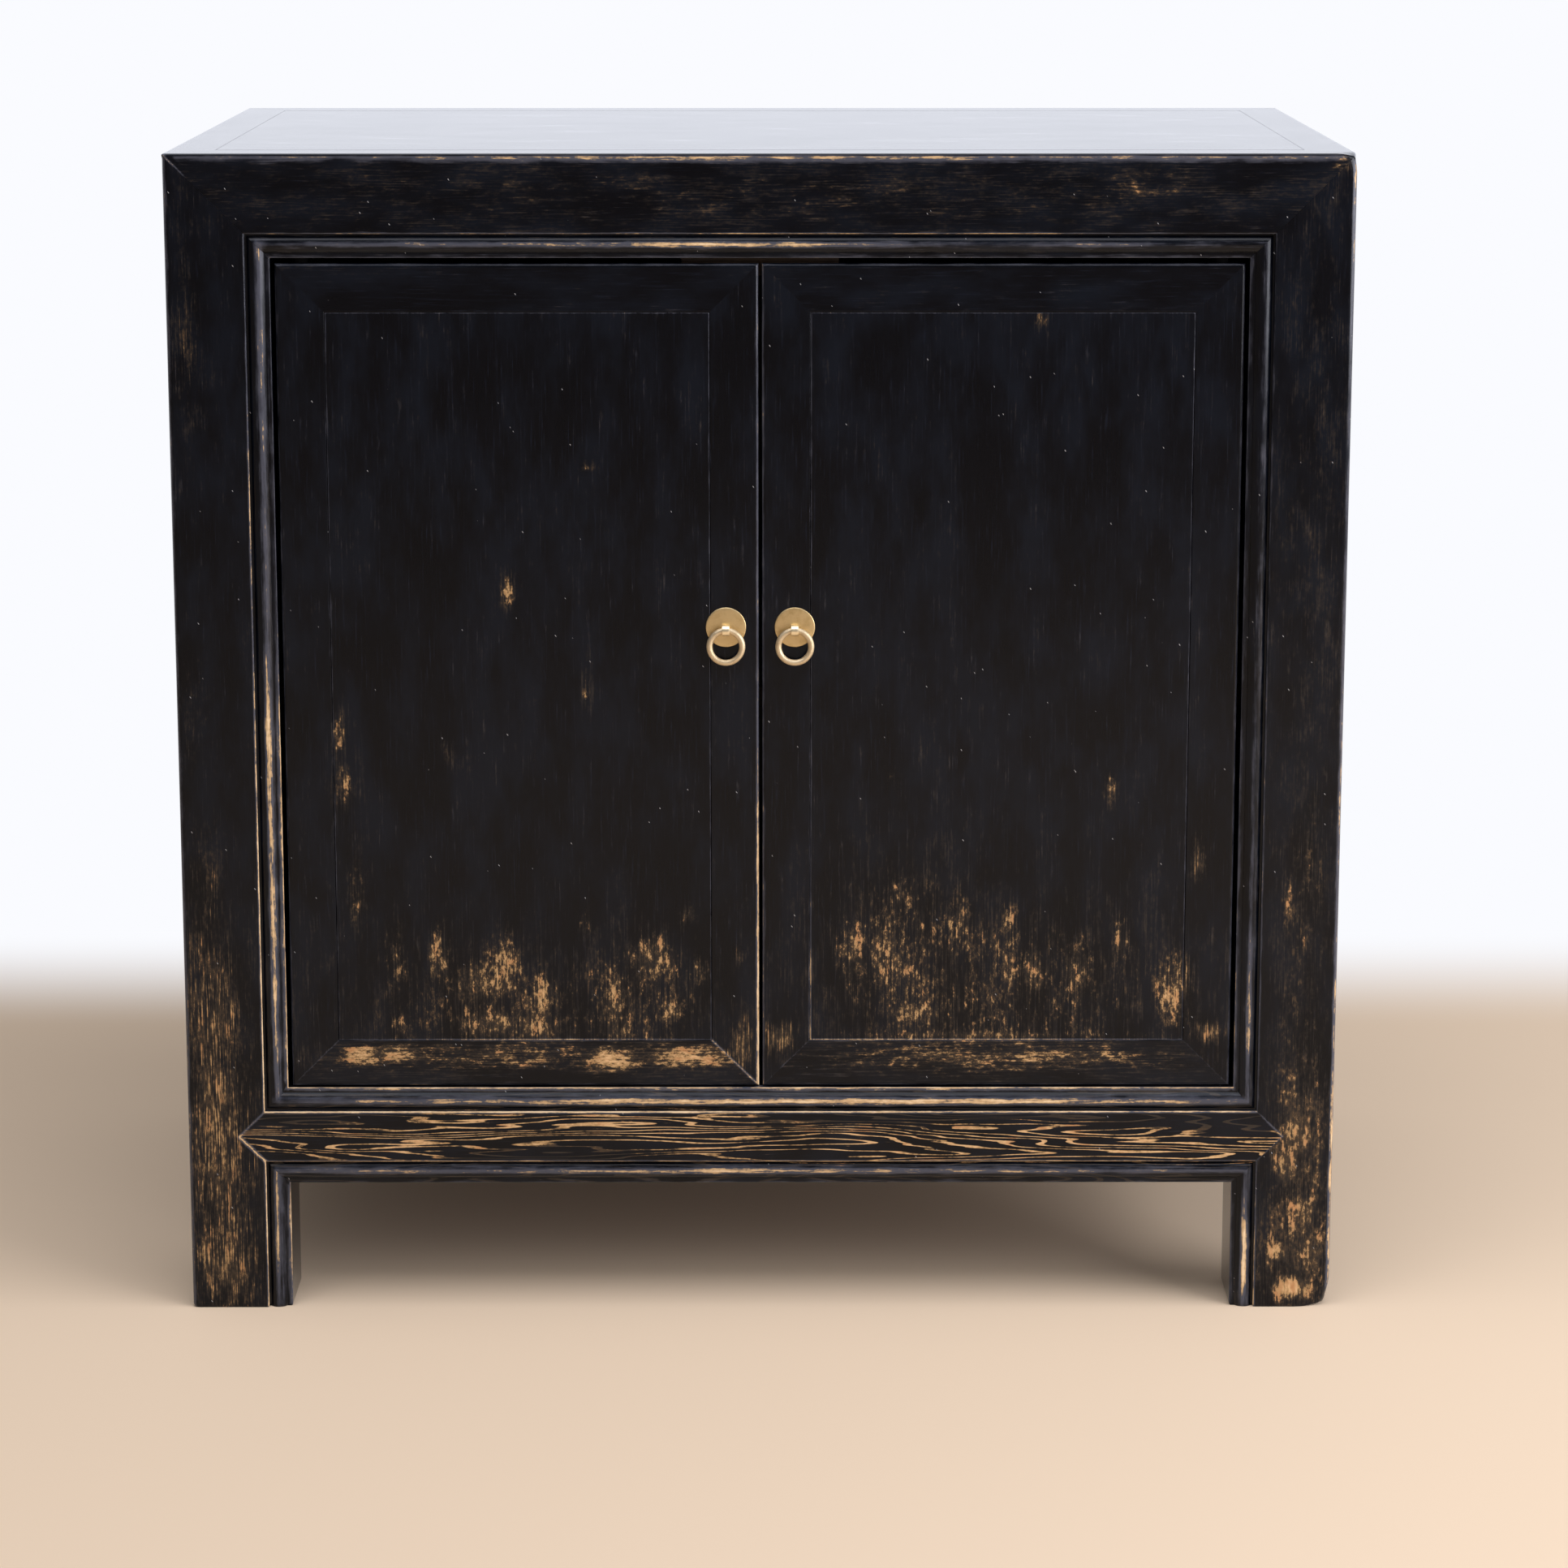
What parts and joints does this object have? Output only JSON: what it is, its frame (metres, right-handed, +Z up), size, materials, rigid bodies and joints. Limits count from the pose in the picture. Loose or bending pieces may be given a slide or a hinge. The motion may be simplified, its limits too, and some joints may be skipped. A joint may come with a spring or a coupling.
{
  "type": "cabinet",
  "caption": "Low storage cabinet in worn black lacquer: mitred, moulded frame, pivot-hung doors with brass ring pulls, a shelf inside.",
  "frame": {"origin": "on the floor, under the middle of the cabinet", "axes": "+Z up, -Y out of the doors towards the viewer, +X to the viewer's right"},
  "size_m": [0.9, 0.5138, 0.912],
  "materials": {
    "black_lacquer": "satin black lacquer, rubbed through to the wood on edges and in streaks",
    "inside_wood": "dark stain, low sheen",
    "brass": "satin"
  },
  "bodies": {
    "carcass": {"back_mullion": "black_lacquer", "back_panel_left": "black_lacquer", "back_panel_right": "black_lacquer", "bottom_rail_back": "black_lacquer", "bottom_rail_front": "black_lacquer", "bottom_rail_side_left": "black_lacquer", "bottom_rail_side_right": "black_lacquer", "door_stop": "inside_wood", "floor_batten": "inside_wood", "floor_board_1": "inside_wood", "floor_board_2": "inside_wood", "floor_board_3": "inside_wood", "leg_back_left": "black_lacquer", "leg_back_right": "black_lacquer", "leg_front_left": "black_lacquer", "leg_front_right": "black_lacquer", "shelf": "inside_wood", "shelf_bearer_left": "inside_wood", "shelf_bearer_right": "inside_wood", "side_panel_left": "black_lacquer", "side_panel_right": "black_lacquer", "top_batten_left": "inside_wood", "top_batten_right": "inside_wood", "top_panel": "black_lacquer", "top_rail_back": "black_lacquer", "top_rail_front": "black_lacquer", "top_rail_side_left": "black_lacquer", "top_rail_side_right": "black_lacquer"},
    "left_door": {"door_batten_lower_left": "black_lacquer", "door_batten_upper_left": "black_lacquer", "door_bottom_rail_left": "black_lacquer", "door_hinge_stile_left": "black_lacquer", "door_meeting_stile_left": "black_lacquer", "door_panel_left": "black_lacquer", "door_top_rail_left": "black_lacquer", "pull_plate_left": "brass", "pull_strap_left": "brass"},
    "right_door": {"door_batten_lower_right": "black_lacquer", "door_batten_upper_right": "black_lacquer", "door_bottom_rail_right": "black_lacquer", "door_hinge_stile_right": "black_lacquer", "door_meeting_stile_right": "black_lacquer", "door_panel_right": "black_lacquer", "door_top_rail_right": "black_lacquer", "pull_plate_right": "brass", "pull_strap_right": "brass"},
    "left_ring": {"pull_ring_left": "brass"},
    "right_ring": {"pull_ring_right": "brass"}
  },
  "joints": [
    {"name": "left_door_swing", "type": "hinge", "parent": "carcass", "child": "left_door", "pos_m": [-0.3495, -0.2375, 0.506], "axis": [0, 0, -1], "range_deg": [0, 110]},
    {"name": "right_door_swing", "type": "hinge", "parent": "carcass", "child": "right_door", "pos_m": [0.3495, -0.2375, 0.506], "axis": [0, 0, 1], "range_deg": [0, 110]},
    {"name": "left_ring_swing", "type": "hinge", "parent": "left_door", "child": "left_ring", "pos_m": [-0.0265, -0.2545, 0.5465], "axis": [-1, 0, 0], "range_deg": [-7, 165]},
    {"name": "right_ring_swing", "type": "hinge", "parent": "right_door", "child": "right_ring", "pos_m": [0.0265, -0.2545, 0.5465], "axis": [-1, 0, 0], "range_deg": [-7, 165]}
  ]
}
